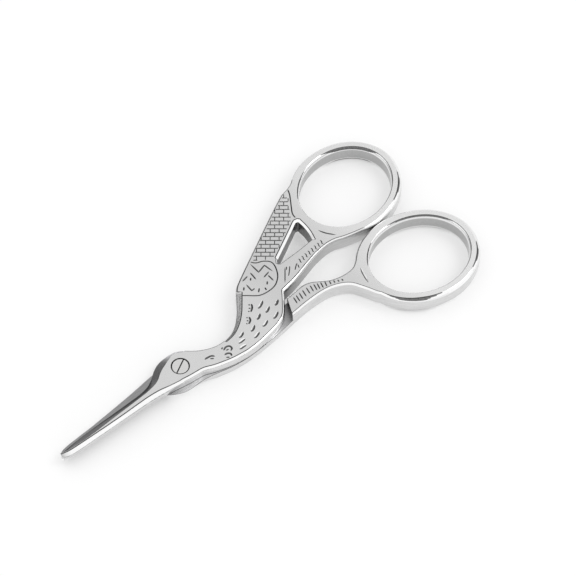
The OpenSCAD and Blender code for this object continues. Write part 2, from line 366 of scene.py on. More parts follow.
def inside(point, loop):
    """Whether a point lies inside a closed row of points."""
    x, y = point
    odd = False
    for i, b in enumerate(loop):
        a = loop[i - 1]
        if (a[1] > y) != (b[1] > y) and x < (b[0] - a[0]) * (y - a[1]) / (b[1] - a[1]) + a[0]:
            odd = not odd
    return odd


def side_faces(loop, start):
    """Faces and kinds of the side along an outline, whose points begin at start."""
    faces, kinds = [], []
    for i, s in enumerate(loop):
        a, b = start + i * ROWS, start + (i + 1) % len(loop) * ROWS
        for k in range(ROWS - 1):
            faces.append([a + k, a + k + 1, b + k + 1, b + k])
            kinds.append(s.kind_at(min(k, ROWS - 2 - k)))
    return faces, kinds


def flat_faces(verts, tops, lows):
    """Triangles of both flats inside the first rim and outside the others."""
    rims = [[Vector(verts[i][:2]) for i in top] for top in tops]
    flat = [p for rim in rims for p in rim]
    index_top = [i for top in tops for i in top]
    index_low = [i for low in lows for i in low]
    edges, base = [], 0
    for rim in rims:
        edges += [(base + i, base + (i + 1) % len(rim)) for i in range(len(rim))]
        base += len(rim)
    points, _, triangles, origins = delaunay_2d_cdt(flat, edges, [], 0, 1e-6)[:4]
    if len(points) != len(flat):
        print("outline crosses itself in", len(points) - len(flat), "points")
    faces = []
    for tri in triangles:
        a, b, c = (points[i] for i in tri)
        middle = (a + b + c) / 3
        if not inside(middle, rims[0]) or any(inside(middle, rim) for rim in rims[1:]):
            continue
        if (b - a).cross(c - a) < 0:
            tri = list(reversed(tri))
        own = [origins[i][0] for i in tri]
        faces += [[index_top[i] for i in own], [index_low[i] for i in reversed(own)]]
    return faces


def plate(outer, holes):
    """Closed solid between its outline and holes, alike above and below its middle plane."""
    verts, faces, kinds, tops, lows = [], [], [], [], []
    for loop in [outer] + holes:
        start = len(verts)
        for s in loop:
            down = s.section()
            verts += [(xy.x, xy.y, z) for xy, z in down]
            verts += [(xy.x, xy.y, THICK - z) for xy, z in reversed(down[:-1])]
        side, side_kinds = side_faces(loop, start)
        faces += side
        kinds += side_kinds
        tops.append(range(start, len(verts), ROWS))
        lows.append(range(start + ROWS - 1, len(verts), ROWS))
    flats = flat_faces(verts, tops, lows)
    return verts, faces + flats, kinds + [FACE] * len(flats)


def new_object(name, data):
    """An object of the scene that holds the data."""
    obj = bpy.data.objects.new(name, data)
    bpy.context.scene.collection.objects.link(obj)
    return obj


def mesh_object(name, verts, faces, kinds, materials, turned=False):
    """A mesh in metres; turned brings a half out of its own frame into the shared one."""
    if turned:
        verts = [(x, -y, THICK - z) for x, y, z in verts]
    mesh = bpy.data.meshes.new(name)
    mesh.from_pydata([(x * MM, y * MM, z * MM) for x, y, z in verts], [], faces)
    for m in materials:
        mesh.materials.append(m)
    mesh.polygons.foreach_set("material_index", kinds)
    return new_object(name, mesh)


def cut(target, cutter):
    """Takes the cutter away from the target and deletes it."""
    mod = target.modifiers.new("cut", "BOOLEAN")
    mod.object, mod.operation, mod.solver = cutter, "DIFFERENCE", "MANIFOLD"
    graph = bpy.context.evaluated_depsgraph_get()
    mesh = bpy.data.meshes.new_from_object(target.evaluated_get(graph))
    target.modifiers.clear()
    target.data = mesh
    bpy.data.objects.remove(cutter)


def prism(outline, low, high, kind, materials, turned=False):
    """Upright solid over an outline given anticlockwise, between two heights."""
    n = len(outline)
    verts = [(x, y, low) for x, y in outline] + [(x, y, high) for x, y in outline]
    faces = [list(range(n))[::-1], list(range(n, 2 * n))]
    faces += [[i, (i + 1) % n, n + (i + 1) % n, n + i] for i in range(n)]
    return mesh_object("cutter", verts, faces, [kind] * len(faces), materials, turned)


def turned_solid(profile, kind, materials, sides=128):
    """Solid of revolution about the pivot from (radius, height) pairs that start and end on it."""
    verts = [(0, 0, profile[0][1]), (0, 0, profile[-1][1])]
    faces = []
    mid = profile[1:-1]
    for i in range(sides):
        t = 2 * math.pi * i / sides
        verts += [(r * math.cos(t), r * math.sin(t), z) for r, z in mid]
    m = len(mid)
    for i in range(sides):
        a, b = 2 + i * m, 2 + ((i + 1) % sides) * m
        faces.append([0, b, a])
        faces += [[a + k, b + k, b + k + 1, a + k + 1] for k in range(m - 1)]
        faces.append([1, a + m - 1, b + m - 1])
    return mesh_object("cutter", verts, faces, [kind] * len(faces), materials)


def stroke(points, width, depth, taper=0.55, smooth=True, highlight_share=0.0):
    """Cutter of a groove along the points, as (verts, faces, kinds); taper makes its ends run out.

    The groove is dark, apart from a share of its width that goes to a flank painted as a
    highlight, which looks towards -X -Y. The cutter stands out of the face by a height of up.
    """
    pts = [Vector(p) for p in points]
    if smooth and len(pts) > 2:
        pts = [Vector(p) for p in spline(points, 0.22)]
    else:
        pts = [a.lerp(b, k / 5) for a, b in zip(pts, pts[1:]) for k in range(5)] + pts[-1:]
    if (pts[-1] - pts[0]).dot(Vector((-1, 1))) < 0:
        pts.reverse()
    n = len(pts)
    up = 0.03
    verts, faces, kinds = [], [], []
    for i, p in enumerate(pts):
        along = (pts[min(i + 1, n - 1)] - pts[max(i - 1, 0)]).normalized()
        side = Vector((-along.y, along.x))
        t = i / (n - 1)
        w = 1 if taper == 0 else min(1, min(t, 1 - t) / taper * 2) ** 0.7
        w = max(w, 0.08)
        half, deep = width / 2 * w, depth * w
        grow = (deep + up) / deep
        low = -side * half * (1 - 2 * highlight_share if highlight_share else 0)
        for s in (-1, 1):
            q = p + low + (side * half * s - low) * grow
            verts.append((q.x, q.y, THICK + up))
        verts.append((p.x + low.x, p.y + low.y, THICK - deep))
    for i in range(n - 1):
        a, b = 3 * i, 3 * (i + 1)
        faces += [[a, b, b + 1, a + 1], [a + 1, b + 1, b + 2, a + 2], [a + 2, b + 2, b, a]]
        # The third face is the flank painted as a highlight, in the polished edge's colour
        kinds += [GROOVE, GROOVE, ROUND if highlight_share else GROOVE]
    faces += [[0, 1, 2], [3 * n - 1, 3 * n - 2, 3 * n - 3]]
    return verts, faces, kinds + [GROOVE, GROOVE]


def engrave(target, passes, materials, below=False):
    """Cuts strokes into the upper or the lower face, pass by pass; within one none may cross."""
    for strokes in passes:
        verts, faces, kinds = [], [], []
        for v, f, k in strokes:
            base = len(verts)
            if below:
                v = [(x, y, THICK - z) for x, y, z in v]
                f = [list(reversed(face)) for face in f]
            verts += v
            faces += [[base + i for i in face] for face in f]
            kinds += k
        cut(target, mesh_object("cutter", verts, faces, kinds, materials))


def shade(obj, limit):
    """Smooth shading that breaks at edges sharper than the limit, with flats kept flat."""
    bm = bmesh.new()
    bm.from_mesh(obj.data)
    bmesh.ops.remove_doubles(bm, verts=bm.verts, dist=1e-8)
    for f in bm.faces:
        f.smooth = True
    for e in bm.edges:
        e.smooth = len(e.link_faces) == 2 and e.calc_face_angle(3) < math.radians(limit)
    bm.to_mesh(obj.data)
    bm.free()
    mod = obj.modifiers.new("flats", "WEIGHTED_NORMAL")
    mod.mode, mod.weight, mod.keep_sharp = "FACE_AREA", 50, True


# Outlines of the front half beyond the blade, anticlockwise from the neck's lower side
NECK_LOW = [(-1.3, -3.0), (0, -3.22), (1.5, -3.38), (3, -3.6), (5, -4.45), (8, -5.35),
            (10, -5.72), (12, -5.95), (14, -5.97), (16, -5.78), (18, -5.5), (19.6, -5.2),
            (21, -4.75), (22.4, -4.0), (23.7, -2.6), (25, -1.0), (25.75, 0.0)]
LEG_LOW = [(25.75, 0.0), (28, 0.35), (30, 0.75), (32, 1.3), (34, 1.85), (36, 2.35), (38, 2.65),
           (39.8, 2.75), (41.4, 2.5), (43.2, 1.85), (45.2, 1.3)]
TAIL_ROOT = [(43.5, 18.85), (42.4, 18.42), (40.8, 18.05)]
TAIL_TOP = [(40.8, 18.05), (38.5, 17.0), (34.6, 15.0),
            (30.6, 12.9), (27.4, 11.2), (24.2, 9.5), (21, 7.75), (19.6, 6.9), (18.75, 6.1)]
BREAST = [(18.75, 6.1), (17.3, 4.2), (15.7, 2.2), (13.9, 0.55), (12, -0.55), (10, -0.95)]
THROAT = [(10, -0.95), (8, -0.75), (6.5, -0.25), (5, 0.55), (4, 1.3), (3, 2.2)]
HEAD_BACK = [(3, 2.2), (2.2, 3.05), (1.2, 3.85), (0, 4.25)]
TRIANGLE = [[(29.5, 5.4), (34, 5.45), (38.1, 5.72)],
            [(38.1, 5.72), (38.6, 7.4), (38.85, 9.2), (38.85, 10.7)],
            [(38.85, 10.7), (38.3, 10.95), (36.5, 10.02), (33.4, 8.4), (29.7, 6.5)],
            [(29.7, 6.5), (29.25, 5.95), (29.5, 5.4)]]
# Outlines of the back half in its own frame, anticlockwise from the head's lower side
BACK_SPINE = [(-1.3, -3.0), (0, -3.1), (1.2, -3.0), (2.2, -2.5), (3, -1.8)]
BACK_NECK = [(3, -1.8), (5, -0.3), (8, 0.85), (10, 1.05), (14, 1.18), (20, 1.33), (25.3, 1.42),
             (27.4, 1.2), (29.6, 1.15), (31.2, 1.6), (32.7, 2.6), (34.2, 3.6), (36, 4.25),
             (37.6, 4.5), (39.3, 4.4), (40.7, 3.65), (42.2, 2.4), (43.8, 1.4), (45.4, 0.72)]
BACK_LEG = [(39.1, 11.8), (38.45, 10.3), (37.8, 9.0), (36.9, 7.4), (35.8, 6.4),
            (34.6, 5.75), (33.4, 5.3), (32, 5.0), (30, 4.85), (27, 4.9), (24, 5.15), (20, 5.6),
            (17, 5.85), (14, 6.0), (12, 6.0), (10, 5.85), (8, 5.55), (5, 4.8)]
BACK_HEAD = [(5, 4.8), (3, 4.37), (1.5, 4.25), (0, 4.25)]


def front_outline():
    """Closed row of stations: blade, neck, leg, ring, tail, breast and head.

    The wall under the leg is painted in shade. The tail's and the breast's roundings are painted
    darker as reflections; the tail's edge has painted dark strips that grow towards the breast,
    whose edge starts with one painted white highlight strip.
    """
    start, stop, y = -122, 114, FRONT_RING_Y
    neck = run(NECK_LOW, reach=(0.62, 0.5), drop=(0.85, 0.6))
    # The neck's wall next to the leg is painted in shade
    for s in neck:
        s.wall = SHADED if s.p.x > 23.5 else s.wall
    loop = spine_side() + neck
    loop += run(LEG_LOW + [on_ring(y, start, RING_SIDE)], reach=(0.7, 0.42),
                drop=(0.95, ROUND_DOWN), wall=SHADED)
    loop += ring_run(y, start, stop)
    loop += run([on_ring(y, stop, RING_SIDE)] + TAIL_ROOT, reach=ROUND_IN,
                drop=(ROUND_DOWN, 0.6))
    tail = run(TAIL_TOP, reach=ROUND_IN, kind=RIM)
    # Painted dark reflection strips on the tail's rounding, more towards the breast
    for s in tail:
        s.dark = round(4 * clamp((26 - s.p.x) / 5))
    loop += tail
    breast = run(BREAST, reach=(1.35, 0.7), drop=0.4, bevel=0.5, kind=RIM)
    # A painted white highlight strip where the breast's edge starts
    breast[1].kind = breast[1].wall = BRIGHT
    loop += breast + run(THROAT, reach=0.35)
    loop += run(HEAD_BACK, reach=(0.5, 1.45), drop=(0.6, 1.88), bevel=(0.0, 1.0), kind=BEVEL)
    return finish_offsets(loop + edge_side())


def back_outline():
    """The same for the back half in its own frame: blade, neck, leg, ring, leg and head."""
    start, stop, y = -122, 156, BACK_RING_Y
    loop = spine_side(0.5) + run(BACK_SPINE, reach=(0.6, 0.5), drop=(0.85, 0.6))
    loop += run(BACK_NECK + [on_ring(y, start, RING_SIDE)], reach=(0.45, ROUND_IN),
                drop=(0.6, ROUND_DOWN))
    loop += ring_run(y, start, stop, turned=True)
    loop += run([on_ring(y, stop, RING_SIDE)] + BACK_LEG, reach=(ROUND_IN, 0.5),
                drop=(ROUND_DOWN, 0.6))
    loop += run(BACK_HEAD, reach=(0.5, 1.45), drop=(0.6, 1.88), bevel=(0.0, 1.0))
    # The back blade's bevel is painted dark, as a reflection, up to x = -4.5
    return finish_offsets(loop + edge_side(-4.5))


def ring_hole(y, turned=False, steps=110):
    """Inner side of a finger ring, clockwise, its rounding reaching out into the band."""
    loop = []
    # More painted dark reflection strips on the front ring's inner rounding
    most = 3.6 if turned else 7
    for k in range(steps):
        t = -360 * k / steps
        p, q = (Vector(on_ring(y, t, out)) for out in (-RING_BAND / 2, -RING_BAND / 2 + 0.4))
        # The inner wall is painted in shade, and the rounding gets painted dark and white strips
        loop.append(Station(p, q, drop=ROUND_DOWN, wall=INNER,
                            **ring_shade(p - q, turned, 24, most)))
    return loop


def triangle_hole():
    """Opening between tail and leg, clockwise, with a chamfer on the sides that face the light."""
    chamfers = [(0.2, 0.2, 0.0), (0.6, 0.38, 1.0), (0.66, 0.4, 1.0), (0.35, 0.3, 0.5)]
    loop = []
    for side, (reach, drop, bevel) in reversed(list(zip(TRIANGLE, chamfers))):
        # The opening's walls are painted dark as shade
        loop += run(side[::-1], reach=reach, drop=drop, bevel=bevel, kind=BRIGHT, wall=PAINTED_DARK)
    return finish_offsets(loop)


def front_lap():
    """Outline of the front half's lap cut: head and neck, up to the full-thickness body."""
    line = [(12.6, -0.89), (16, -0.99), (20, -1.08), (25.3, -1.17), (27, -1.0)]
    return [(-FAR, -FAR), (27, -FAR)] + line[::-1] + [(12.6, FAR), (-FAR, FAR)]


def back_lap():
    """The same for the back half in its own frame: up to the stepped shoulder."""
    shoulder = [(27.5, -3.3), (25.4, 1.3), (20.2, 12)]
    return [(-FAR, FAR), (-FAR, -FAR), (27.5, -FAR)] + shoulder + [(20.2, FAR)]


# Engraving, as the points that each stroke follows: feathers, curls and nicks of neck and breast
FEATHERS = [
    [(12.4, -2.5), (13.2, -2.25), (13.9, -1.9)],
    [(11.5, -3.4), (12.4, -3.3), (13.2, -3.3)],
    [(10.8, -4.5), (11.7, -4.4), (12.5, -4.5)],
    [(15.0, -2.9), (15.8, -2.6), (16.5, -2.1)],
    [(14.5, -4.4), (15.4, -4.2), (16.2, -3.9)],
    [(19.4, 0.2), (20.4, 0.55), (21.3, 1.1)],
    [(17.6, -1.6), (18.3, -1.3), (19.0, -0.8)],
    [(19.9, -1.5), (20.7, -1.15), (21.4, -0.7)],
    [(22.3, -1.4), (23.0, -1.1), (23.7, -0.6)],
    [(17.4, -3.5), (18.3, -3.3), (19.1, -2.9)],
    [(20.1, -3.5), (21.0, -3.2), (21.9, -2.7)],
]
CURLS = [
    [(19.16, 1.93), (18.73, 1.17), (17.86, 0.56)],
    [(16.89, -0.05), (16.59, -0.82), (15.75, -1.28)],
    [(4.34, -1.89), (5.05, -1.92), (5.86, -2.12), (6.3, -2.62)],
    [(8.34, -2.71), (9.11, -2.38), (9.81, -2.63), (9.89, -3.3), (9.28, -3.65)],
    [(7.82, -3.56), (8.49, -3.64), (8.93, -4.12), (8.73, -4.65)],
]
NICKS = [
    [(18.59, 2.18), (18.79, 1.82)], [(18.07, 1.5), (18.4, 1.25)],
    [(17.55, 1.01), (17.78, 0.81)], [(16.37, 0.16), (16.57, -0.1)],
    [(15.96, -0.44), (16.26, -0.68)], [(15.46, -0.91), (15.69, -1.05)],
    [(5.25, -2.41), (5.87, -2.9)], [(8.71, -2.98), (9.31, -3.08)],
    [(7.72, -4.15), (8.28, -4.6)], [(8.21, -2.25), (8.68, -2.01)],
]
# The round wing and its marks, the lines about the front leg and the arc at its ring
OVAL = [(19, 4.6), (20, 3.7), (21, 2.8), (21.8, 2.3), (23.2, 2.0), (24.8, 2.05), (26, 2.5),
        (27.2, 3.5), (28, 4.8), (28.4, 6), (28.3, 7), (27.3, 8), (26, 8.6), (25.3, 9.5)]
WING = [
    [(25.0, 9.2), (25, 6.6), (26.9, 7.1), (27.2, 4.9)],
    [(24.9, 5.0), (26.6, 5.4)],
    [(25.9, 4.9), (25.9, 3.2)],
    [(21.3, 6), (21.2, 4.2), (22, 4.2)],
    [(23.7, 7.6), (23.5, 5.6)],
    [(20, 5.2), (20.6, 5.8)],
    [(22.5, 6.1), (23, 6.6)],
    [(21.9, 3.0), (22.7, 3.7)],
    [(23.4, 2.4), (23.6, 3.1)],
    [(24.3, 3.3), (24.9, 3.9)],
    [(21.2, 7.0), (22.8, 7.3)],
]
LEG_LINES = [[(29.64, 4.16), (27.18, 1.33)],
             [(30.5, 3.73), (29.58, 2.82), (28.78, 2.11)],
             [(29.95, 4.05), (29.37, 3.46)],
             [(30.64, 2.36), (31.59, 3.09), (32.05, 3.32)],
             [(31.95, 3.03), (31.56, 2.18)]]
ROOT_ARC = [(40.3, 6.5), (41, 5), (42.2, 3.4)]
# The arc at the back ring, and the leg's hatching, which shortens towards the ring
BACK_ARC = [(40.64, -5.53), (40.13, -6.79), (39.45, -9.09)]
BACK_HATCH = [((26.24, -2.19), (25.87, -3.81)), ((26.94, -2.15), (26.56, -3.84)),
              ((27.76, -2.09), (27.34, -3.82)), ((28.65, -2.04), (28.23, -3.76)),
              ((29.57, -2.10), (29.20, -3.74)), ((30.46, -2.22), (30.04, -3.80)),
              ((31.20, -2.43), (30.75, -4.02)), ((31.83, -2.71), (31.35, -4.20)),
              ((32.49, -2.98), (32.02, -4.41)), ((33.23, -3.37), (32.77, -4.58)),
              ((33.96, -3.88), (33.69, -4.76)), ((34.67, -4.31), (34.51, -4.98)),
              ((35.37, -4.73), (35.26, -5.32)), ((36.09, -5.11), (35.99, -5.67))]
# The tail's end line, the field of its scales, and the turn and sizes of their rows
TAIL_END = [(42.3, 17.9), (41.8, 16.8), (41.2, 15.9), (40, 14.2), (39.2, 13), (38.95, 12.1),
            (39.0, 11.75)]
TAIL = [(25.9, 9.35), (28.6, 7.7), (29.5, 7.25), (33.0, 9.1), (38.3, 11.95), (38.8, 13),
        (39.6, 14.2), (41.0, 16.4), (41.6, 17.6), (40.6, 17.5), (38.6, 16.6), (34.7, 14.6),
        (30.7, 12.5), (26.6, 10.35)]
BRICK_TURN, BRICK_ROW, BRICK_LENGTH = -41, 0.94, 1.76


def clip(a, b, loop, count=120):
    """Stretches of the line from a to b that lie inside a loop, found at count places."""
    pts = [(a[0] + (b[0] - a[0]) * k / count, a[1] + (b[1] - a[1]) * k / count)
           for k in range(count + 1)]
    flags = [inside(p, loop) for p in pts]
    out, start = [], None
    for k, f in enumerate(flags + [False]):
        if f and start is None:
            start = k
        if not f and start is not None:
            if k - start > 3:
                out.append((pts[start], pts[k - 1]))
            start = None
    return out


def bricks():
    """Rows of small scales on the tail: long lines across it, then the joints between them.

    The counts are more than enough to cross the tail, and what lies outside it is left out.
    """
    g = math.radians(BRICK_TURN)
    u, v = Vector((math.cos(g), math.sin(g))), Vector((-math.sin(g), math.cos(g)))
    low = min(Vector(p).dot(v) for p in TAIL)
    rows, joints = [], []
    for k in range(24):
        h = low + 0.15 + k * BRICK_ROW
        for a, b in clip(u * 5 + v * h, u * 35 + v * h, TAIL):
            rows.append([a, b])
        for j in range(-10, 40):
            s = (j + (k % 2) / 2) * BRICK_LENGTH
            mid = u * s + v * (h + BRICK_ROW / 2)
            if inside(mid, TAIL):
                joints.append([mid - v * BRICK_ROW * 0.4, mid + v * BRICK_ROW * 0.4])
    return rows, joints


def leg_ticks():
    """Short curled strokes along the front leg, by the lower side of the triangle."""
    curl = [(0.02, 0.58), (0.12, 0.2), (-0.12, -0.2), (-0.02, -0.56)]
    middles = [(32.83 + 0.87 * k, 3.36 + 0.08 * k) for k in range(8)]
    return [[(x + dx, y + dy) for dx, dy in curl] for x, y in middles]


def neck_passes():
    """Feathers with a flank painted as a highlight, curls and small nicks."""
    return [[stroke(p, width=0.6, depth=0.21, highlight_share=0.33) for p in FEATHERS],
            [stroke(p, width=0.38, depth=0.14, taper=0.3) for p in CURLS],
            [stroke(p, width=0.28, depth=0.11, taper=0.2) for p in NICKS]]


def body_passes():
    """Wing, legs, tail and the scales of the tail, whose rows have a flank painted as a highlight.
    """
    rows, joints = bricks()
    lines = [stroke(p, width=0.3, depth=0.12, smooth=False, taper=0.3) for p in WING]
    lines += [stroke(p, width=0.22, depth=0.08, taper=0.25) for p in LEG_LINES + leg_ticks()]
    lines += [stroke(ROOT_ARC, width=0.3, depth=0.12)]
    return [lines, [stroke(p, width=0.26, depth=0.12, taper=0.05) for p in (OVAL, TAIL_END)],
            [stroke(p, width=0.26, depth=0.1, taper=0, highlight_share=0.2) for p in rows],
            [stroke(p, width=0.17, depth=0.08, taper=0) for p in joints]]


def back_passes():
    """Hatching and arc of the back leg; the arc has a flank painted as a highlight."""
    return [[stroke(p, width=0.27, depth=0.09, taper=0.15) for p in BACK_HATCH],
            [stroke(BACK_ARC, width=0.5, depth=0.16, highlight_share=0.45)]]


def front_half(materials):
    """Upper blade, neck, body, wing, tail, front leg and ring, with the counterbore."""
    verts, faces, kinds = plate(front_outline(), [ring_hole(FRONT_RING_Y), triangle_hole()])
    obj = mesh_object("stork_front_half", verts, faces, kinds, materials)
    cut(obj, prism(front_lap(), -9, LAP, LAPPED, materials))
    bore = [(0, 1), (BORE_R, 1), (BORE_R, THICK - RECESS), (RECESS_R, THICK - RECESS),
            (RECESS_R, THICK - 0.06), (RECESS_R + 0.1, THICK + 0.04), (0, THICK + 0.04)]
    # The bore's walls take the dark groove colour, as painted shade in the counterbore
    cut(obj, turned_solid(bore, GROOVE, materials))
    engrave(obj, neck_passes() + body_passes(), materials)
    engrave(obj, body_passes(), materials, below=True)
    return obj


def back_half(materials):
    """Lower blade, neck, stepped shoulder, back leg and ring, with the screw's hole."""
    verts, faces, kinds = plate(back_outline(), [ring_hole(BACK_RING_Y, turned=True)])
    obj = mesh_object("stork_back_half", verts, faces, kinds, materials, turned=True)
    cut(obj, prism(back_lap(), -9, LAP, LAPPED, materials, turned=True))
    loose = THREAD_R + 0.04
    hole = [(0, -1), (loose + 0.13, -1), (loose + 0.13, 0.0), (loose, 0.13), (loose, THICK),
            (0, THICK)]
    cut(obj, turned_solid(hole, ROUND, materials))
    engrave(obj, back_passes(), materials)
    engrave(obj, neck_passes() + back_passes(), materials, below=True)
    return obj


def pivot_screw(materials):
    """Slotted head, plain shank and the screwed end, whose tip shows from below."""
    profile = [(0, 0.06), (THREAD_R - 0.15, 0.06), (THREAD_R, 0.2), (THREAD_R, 1.9),
               (SHANK_R, 2.04), (SHANK_R, THICK - HEAD), (HEAD_R, THICK - HEAD),
               (HEAD_R, THICK - 0.08), (HEAD_R - 0.08, THICK), (0, THICK)]
    obj = turned_solid(profile, 0, materials)
    obj.name = "stork_pivot_screw"
    turn, half_length, half_width, depth = math.radians(28), 3, 0.13, 0.4
    c, s = math.cos(turn), math.sin(turn)
    corners = [(-half_length, -half_width), (half_length, -half_width),
               (half_length, half_width), (-half_length, half_width)]
    slot = [(x * c - y * s, x * s + y * c) for x, y in corners]
    cut(obj, prism(slot, THICK - depth, THICK + 1, 1, materials))
    return obj


def empty_tree(owner):
    """The emptied node tree of a material or a world."""
    owner.use_nodes = True
    owner.node_tree.nodes.clear()
    return owner.node_tree


def node(tree, kind, inputs=None, **settings):
    """Adds a shader node, with its settings and its inputs, which are values or other outputs."""
    made = tree.nodes.new(kind)
    for name, value in settings.items():
        setattr(made, name, value)
    for name, value in (inputs or {}).items():
        if isinstance(value, bpy.types.NodeSocket):
            tree.links.new(value, made.inputs[name])
        else:
            made.inputs[name].default_value = value
    return made


def opaque(v):
    """A grey as a colour."""
    return (v, v, v, 1)


def colour_ramp(tree, share, stops):
    """Colours between (position, colour) stops, by a share from 0 to 1."""
    made = node(tree, "ShaderNodeValToRGB", {"Fac": share})
    elements = made.color_ramp.elements
    while len(elements) < len(stops):
        elements.new(0.5)
    for e, (place, colour) in zip(elements, stops):
        e.position, e.color = place, colour
    return made.outputs["Color"]


def looked_at(tree, path):
    """1 for rays of the camera, of mirrors and of glass, else 0."""
    seen = path.outputs["Is Camera Ray"]
    for ray in ("Is Glossy Ray", "Is Transmission Ray"):
        seen = node(tree, "ShaderNodeMath", {0: seen, 1: path.outputs[ray]},
                    operation="MAXIMUM").outputs[0]
    return seen


def steel(name, grey, roughness, spread=0.04, grain=(0.5, 9, 9), grain_depth=0.5, stain=0.04,
          streak=0.0, along_x=None):
    """Metal with a fine directional grain, faint smudges and a little wear.

    spread is how far the roughness varies. grain is how fine the grain is along each axis, and
    grain_depth its depth in microns. stain is how far the grey varies, and streak the share of
    the grain in it. along_x has (x, factor) pairs, and the grey is multiplied by the factor; the
    factors paint light and shade along the part.
    """
    mat = bpy.data.materials.new(name)
    tree = empty_tree(mat)
    place = node(tree, "ShaderNodeTexCoord").outputs["Object"]
    in_mm = node(tree, "ShaderNodeVectorMath", {0: place, 1: (1000, 1000, 1000)},
                 operation="MULTIPLY").outputs[0]
    along = node(tree, "ShaderNodeVectorMath", {0: in_mm, 1: grain},
                 operation="MULTIPLY").outputs[0]
    lines = node(tree, "ShaderNodeTexNoise",
                 {"Vector": along, "Scale": 1.0, "Detail": 3.0, "Roughness": 0.6}).outputs["Fac"]
    smudge = node(tree, "ShaderNodeTexNoise",
                  {"Vector": in_mm, "Scale": 0.16, "Detail": 4.0, "Roughness": 0.55}).outputs["Fac"]
    specks = node(tree, "ShaderNodeTexNoise",
                  {"Vector": in_mm, "Scale": 2.6, "Detail": 5.0, "Roughness": 0.7}).outputs["Fac"]
    tone = node(tree, "ShaderNodeMath", {0: smudge, 1: 0.6}, operation="MULTIPLY").outputs[0]
    tone = node(tree, "ShaderNodeMath", {0: specks, 1: 0.4, 2: tone},
                operation="MULTIPLY_ADD").outputs[0]
    tone = node(tree, "ShaderNodeMix", {"Factor": streak, 2: tone, 3: lines}).outputs[0]
    low = tuple(v * (1 - stain) for v in grey) + (1,)
    high = tuple(min(1, v * (1 + stain)) for v in grey) + (1,)
    colour = colour_ramp(tree, tone, [(0.35, low), (0.65, high)])
    if along_x:
        x = node(tree, "ShaderNodeSeparateXYZ", {0: in_mm}).outputs["X"]
        first, last, most = along_x[0][0], along_x[-1][0], max(f for _, f in along_x)
        share = node(tree, "ShaderNodeMapRange",
                     {"Value": x, "From Min": first, "From Max": last}).outputs[0]
        curve = colour_ramp(tree, share, [((at_x - first) / (last - first), opaque(f / most))
                                          for at_x, f in along_x])
        colour = node(tree, "ShaderNodeVectorMath", {0: colour, 1: curve},
                      operation="MULTIPLY").outputs[0]
        colour = node(tree, "ShaderNodeVectorMath", {0: colour, "Scale": most},
                      operation="SCALE").outputs[0]
    rough = node(tree, "ShaderNodeMapRange",
                 {"Value": tone, "From Min": 0.3, "From Max": 0.7, "To Min": roughness - spread,
                  "To Max": roughness + spread}).outputs[0]
    bump = node(tree, "ShaderNodeBump",
                {"Height": lines, "Strength": 1.0, "Distance": grain_depth * MICRON}).outputs[0]
    shader = node(tree, "ShaderNodeBsdfPrincipled",
                  {"Base Color": colour, "Metallic": 1.0, "Roughness": rough,
                   "Normal": bump})
    node(tree, "ShaderNodeOutputMaterial", {"Surface": shader.outputs[0]})
    return mat


def half_materials():
    """The halves' materials, in the order of the kinds."""
    side = {"grain": (0.25, 0.25, 7), "stain": 0.12, "streak": 0.7}
    return [
        # Flats; along X their grey is painted lighter or darker as a reflection
        steel("satin_face", (0.69, 0.69, 0.689), 0.27, grain=(0.5, 8, 8), grain_depth=0.9,
              stain=0.03, along_x=[(18, 1.0), (24, 0.93), (38, 0.95), (46, 1.12)]),
        # Polished roundings, with painted shade at the blade's tip and towards the ring
        steel("polished_edge", (0.96, 0.96, 0.96), 0.13, spread=0.03, grain=(2, 2, 2),
              grain_depth=0.3,
              along_x=[(-28.3, 0.5), (-27.6, 0.8), (-26.5, 1.0), (38, 1.0), (45, 0.86)]),
        # Grooves; this dark also paints the line at a flat's edge as a reflection, and shade in the
        # bore
        steel("groove_and_painted_shade", (0.12, 0.12, 0.12), 0.38, spread=0.06, grain=(3, 3, 3)),
        # The blade's bevel, painted dark as a reflection, lighter towards the head
        steel("bevel_painted_dark", (0.06, 0.06, 0.062), 0.28, grain=(0.5, 6, 6), stain=0.5,
              streak=0.7, along_x=[(-1.6, 1.0), (-0.7, 3.0), (0.6, 8.5)]),
        # Lap faces, painted in shade: dark towards the blade and darkest at the shoulder
        steel("lap_painted_shade", (0.3, 0.3, 0.303), 0.28, spread=0.05, grain=(0.6, 8, 8),
              grain_depth=1.5, stain=0.15, streak=0.6,
              along_x=[(-5, 1.0), (-2, 2.2), (19, 2.2), (25, 0.4)]),
        # Tail and breast roundings and the line along a rounding's middle, painted dark as
        # reflections
        steel("rim_painted_dark", (0.5, 0.5, 0.5), 0.28, spread=0.05, grain=(3, 3, 3), stain=0.5,
              streak=0.7),
        # The opening's walls and the dark strips of roundings, painted dark as shade and
        # reflections
        steel("painted_dark_shade", (0.17, 0.17, 0.17), 0.3, spread=0.05, grain=(3, 3, 1), stain=0.3,
              streak=0.7),
        # The rings' inner walls, painted in shade
        steel("ring_inside", (0.46, 0.46, 0.46), 0.2, spread=0.05, grain=(2, 2, 6), stain=0.1,
              streak=0.5),
        # Polished bevels and chamfers, which also paint the white highlight strips
        steel("polished_bevel_and_painted_highlight", (0.97, 0.97, 0.97), 0.12, spread=0.03, grain=(2, 2, 2),
              grain_depth=0.3),
        steel("brushed_side", (0.69, 0.69, 0.69), 0.2, **side),
        # The walls by the leg, painted in shade that lightens towards the ring
        steel("shaded_side", (0.69, 0.69, 0.69), 0.2, **side,
              along_x=[(25.7, 0.2), (27.6, 0.48), (38, 0.7), (45, 1.0)]),
    ]


def screw_materials():
    """The screw's materials: its surface and its slot."""
    return [
        steel("screw_face", (0.7, 0.696, 0.69), 0.28, spread=0.05, grain=(1.5, 9, 1),
              grain_depth=2.0),
        # The slot, painted dark as shade
        steel("screw_slot", (0.17, 0.17, 0.17), 0.45, spread=0.05, grain=(3, 3, 3),
              grain_depth=1.0),
    ]


